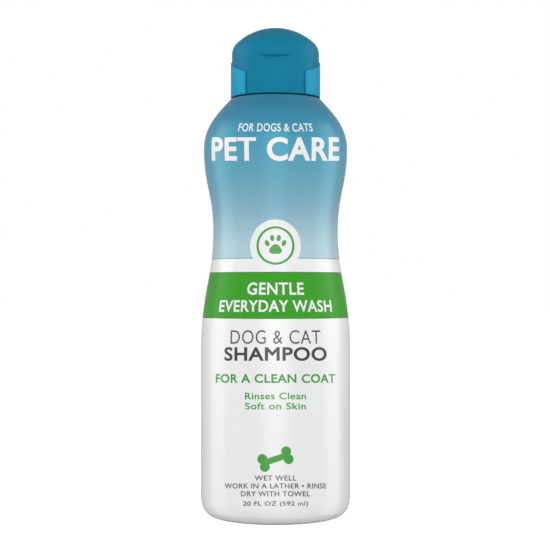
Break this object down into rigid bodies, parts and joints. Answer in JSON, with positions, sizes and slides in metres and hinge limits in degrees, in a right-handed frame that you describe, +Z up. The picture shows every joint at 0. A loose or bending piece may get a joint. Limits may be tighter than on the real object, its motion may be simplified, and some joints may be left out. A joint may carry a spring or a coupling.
{
  "type": "pet shampoo bottle",
  "caption": "Round waisted squeeze bottle for pet shampoo, with a printed film sleeve and a screw-on cap whose domed lid flips open on a living hinge.",
  "frame": {"origin": "centre of the foot, on the surface that the bottle stands on", "axes": "+Z up along the bottle's axis, -Y out of its front, towards the lid's thumb recess, +X to the right of someone facing the front"},
  "size_m": [0.07, 0.07, 0.2282],
  "materials": {
    "bottle_plastic": "white blow-moulded polyethylene, satin",
    "printed_film": "shrunk film, printed blue fading to pale blue, then white, green and white bands",
    "cap_plastic": "teal injection-moulded polypropylene, satin",
    "lid_plastic": "teal injection-moulded polypropylene, satin",
    "liner_foam": "pale closed-cell foam"
  },
  "bodies": {
    "bottle": {"bottle": "bottle_plastic", "shrink_sleeve": "printed_film"},
    "liner": {"liner": "liner_foam"},
    "closure": {"closure_base": "cap_plastic", "hinge_strap": "lid_plastic", "hinge_web_left": "lid_plastic", "hinge_web_right": "lid_plastic"},
    "lid": {"lid": "lid_plastic"}
  },
  "joints": [
    {"name": "closure_lift", "type": "slide", "parent": "bottle", "child": "liner", "axis": [0, 0, 1], "range_m": [0, 0.00635]},
    {"name": "closure_turn", "type": "hinge", "parent": "liner", "child": "closure", "pos_m": [0, 0, 0.2], "axis": [0, 0, 1], "range_deg": [0, 540]},
    {"name": "lid_hinge", "type": "hinge", "parent": "closure", "child": "lid", "pos_m": [0, 0.01995, 0.2147], "axis": [-1, 0, 0], "range_deg": [0, 130], "deforming": ["hinge_strap", "hinge_web_left", "hinge_web_right"]}
  ],
  "couplings": [
    {"joint": "closure_lift", "follows": "closure_turn", "m_per_rad": 0.00067323}
  ]
}
